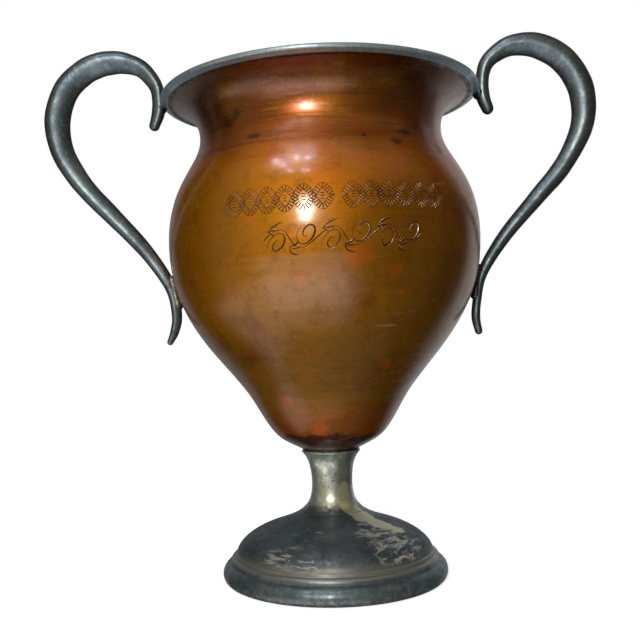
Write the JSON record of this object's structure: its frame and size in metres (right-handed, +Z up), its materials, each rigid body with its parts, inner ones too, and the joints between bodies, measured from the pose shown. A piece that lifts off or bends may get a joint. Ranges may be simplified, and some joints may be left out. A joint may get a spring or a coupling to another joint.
{
  "type": "two-handled prize cup",
  "caption": "Two-handled prize cup: pear-shaped copper bowl with flared mouth, pewter rim band, whiplash handles, waisted stem and domed round foot.",
  "frame": {"origin": "centre of the foot's underside, on the surface the cup stands on", "axes": "+Z up along the bowl's axis, +X towards the right handle, -Y towards the engraved front"},
  "size_m": [0.2296, 0.13, 0.2202],
  "materials": {
    "copper": "spun copper with an amber lacquer, streaked and blotched by age",
    "pewter": "cast pewter with a dark blue-grey oxide, worn brighter on edges",
    "solder": "soft solder, dull grey"
  },
  "bodies": {
    "root": {"bowl": "copper", "rim_band": "pewter", "rim_solder": "solder", "handle_left": "pewter", "handle_right": "pewter", "handle_left_upper_solder": "solder", "handle_left_lower_solder": "solder", "handle_right_upper_solder": "solder", "handle_right_lower_solder": "solder", "stem_top_solder": "solder", "stem": "pewter", "stem_foot_solder": "solder", "foot_dome": "pewter", "foot_ring_solder": "solder", "foot_ring": "pewter"}
  },
  "joints": []
}
